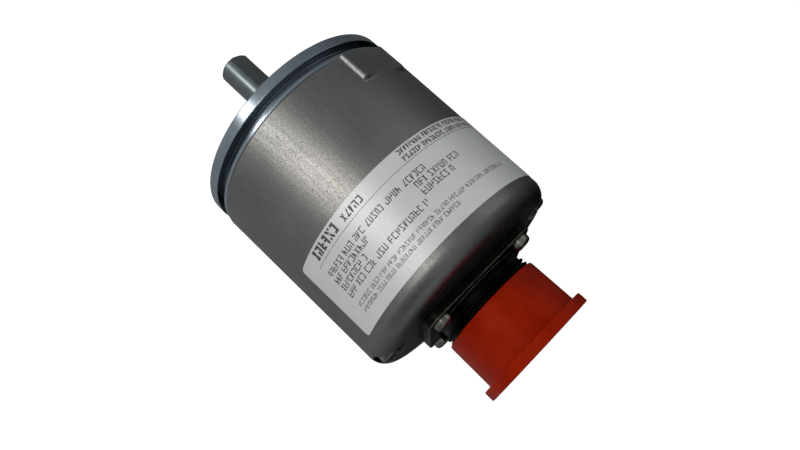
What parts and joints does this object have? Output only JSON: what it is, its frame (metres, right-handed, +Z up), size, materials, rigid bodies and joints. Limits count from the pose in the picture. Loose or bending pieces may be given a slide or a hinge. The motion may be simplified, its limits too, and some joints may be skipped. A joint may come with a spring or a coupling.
{
  "type": "rotary encoder",
  "caption": "Round flange-mount shaft encoder with a die-cast can, solid shaft, end receptacle and push-on dust cap.",
  "frame": {"origin": "centre of the flange's mounting face, on the shaft axis", "axes": "shaft axis along Y, nose towards -Y and receptacle towards +Y; +Z up, square to one side of the receptacle's flange"},
  "size_m": [0.064, 0.1191, 0.064],
  "materials": {
    "cast_aluminium": "as-cast, tumbled, satin",
    "machined_aluminium": "fine turned, clear conversion coat",
    "ground_steel": "ground stainless",
    "bearing_steel": "ground and polished",
    "pressed_steel": "pressed sheet",
    "spring_steel": "oiled spring steel",
    "plated_screw": "zinc plated",
    "nitrile_rubber": "moulded, matte",
    "disc_glass": "clear with a fine chrome pattern",
    "mask_glass": "clear with a fine chrome pattern",
    "board_laminate": "green solder mask",
    "black_moulding": "glass-filled, matte",
    "clear_epoxy": "clear, water-white",
    "capacitor_can": "bright drawn can",
    "standoff_brass": "nickel plated",
    "gold_contact": "gold plated",
    "wire_insulation": "smooth insulation",
    "olive_plate": "olive drab chromate, satin",
    "insulator": "moulded, matte",
    "label_film": "satin metallised film with dark print",
    "red_plastic": "soft moulded polyethylene"
  },
  "bodies": {
    "housing": {"bearing_housing": "machined_aluminium", "seal_case": "pressed_steel", "seal_lip": "nitrile_rubber", "garter_spring": "spring_steel", "front_bearing_outer_ring": "bearing_steel", "front_bearing_shields": "pressed_steel", "rear_bearing_outer_ring": "bearing_steel", "rear_bearing_shields": "pressed_steel", "wave_spring": "spring_steel", "light_source_holder": "black_moulding", "light_source": "clear_epoxy", "holder_screw": "plated_screw", "reticle_mask": "mask_glass", "photodetector": "black_moulding", "sensor_board": "board_laminate", "circuit_board": "board_laminate", "lower_standoffs": "standoff_brass", "upper_standoffs": "standoff_brass", "board_screws": "plated_screw", "driver_chips": "black_moulding", "regulator": "black_moulding", "capacitors": "capacitor_can", "board_link": "black_moulding", "cover": "cast_aluminium", "cover_o_ring": "nitrile_rubber", "cover_posts": "standoff_brass", "cover_lock_washers": "plated_screw", "cover_screws": "plated_screw", "label": "label_film", "connector_gasket": "nitrile_rubber", "connector_shell": "olive_plate", "connector_insert": "insulator", "contact_pins": "gold_contact", "connector_wires": "wire_insulation", "connector_screws": "plated_screw"},
    "rotor": {"shaft": "ground_steel", "shaft_retaining_rings": "spring_steel", "front_bearing_inner_ring": "bearing_steel", "rear_bearing_inner_ring": "bearing_steel", "disc_hub": "machined_aluminium", "hub_set_screws": "spring_steel", "code_disc": "disc_glass"},
    "front_ball_set": {"front_bearing_balls": "bearing_steel", "front_bearing_cage": "pressed_steel"},
    "rear_ball_set": {"rear_bearing_balls": "bearing_steel", "rear_bearing_cage": "pressed_steel"},
    "cap": {"dust_cap": "red_plastic"}
  },
  "joints": [
    {"name": "shaft_turn", "type": "hinge", "parent": "housing", "child": "rotor", "pos_m": [0, 0, 0], "axis": [0, -1, 0], "continuous": true},
    {"name": "front_balls_turn", "type": "hinge", "parent": "housing", "child": "front_ball_set", "pos_m": [0, 0.00417, 0], "axis": [0, -1, 0], "continuous": true},
    {"name": "rear_balls_turn", "type": "hinge", "parent": "housing", "child": "rear_ball_set", "pos_m": [0, 0.02447, 0], "axis": [0, -1, 0], "continuous": true},
    {"name": "cap_pull", "type": "slide", "parent": "housing", "child": "cap", "axis": [0, 1, 0], "range_m": [0, 0.03]}
  ],
  "couplings": [
    {"joint": "front_balls_turn", "follows": "shaft_turn", "ratio": 0.375},
    {"joint": "rear_balls_turn", "follows": "shaft_turn", "ratio": 0.375}
  ]
}
